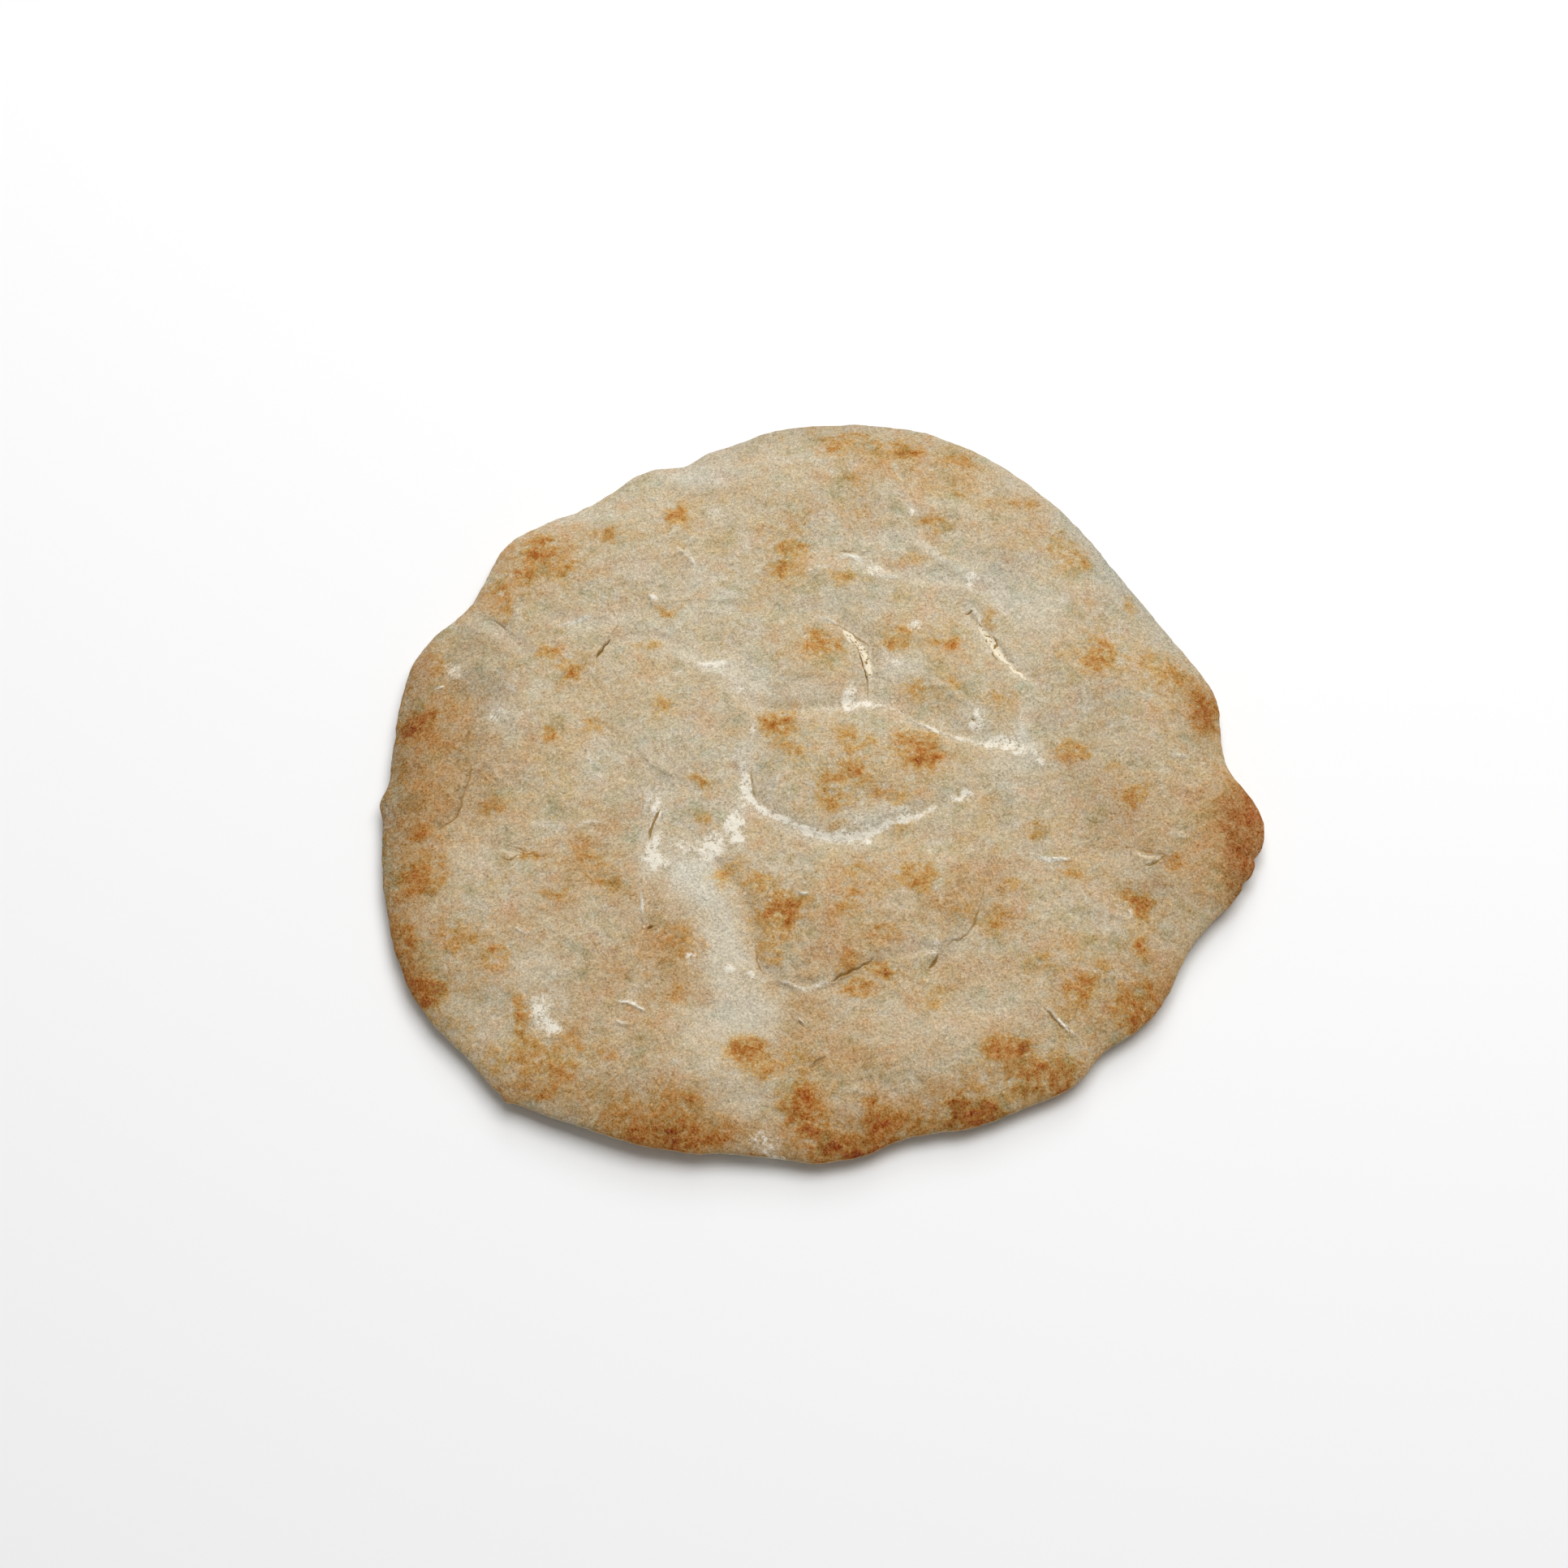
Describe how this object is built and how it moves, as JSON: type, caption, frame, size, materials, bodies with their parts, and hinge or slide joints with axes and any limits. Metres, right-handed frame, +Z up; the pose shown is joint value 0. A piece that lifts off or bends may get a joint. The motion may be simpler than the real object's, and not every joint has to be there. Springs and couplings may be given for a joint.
{
  "type": "pizza base",
  "caption": "Plain round of hand-stretched baked pizza dough with a rounded rim, puffed blisters, floury folds, cracks and a thin browned ear at one side; lies flat to be topped or served.",
  "frame": {"origin": "on the surface that the base lies on, below the middle of its outline", "axes": "+Z up out of the top crust, +X towards the thin browned ear, +Y away from the viewer of the picture"},
  "size_m": [0.2786, 0.2652, 0.0172],
  "materials": {
    "baked_dough": "matte"
  },
  "bodies": {
    "root": {"pizza_base": "baked_dough"}
  },
  "joints": []
}
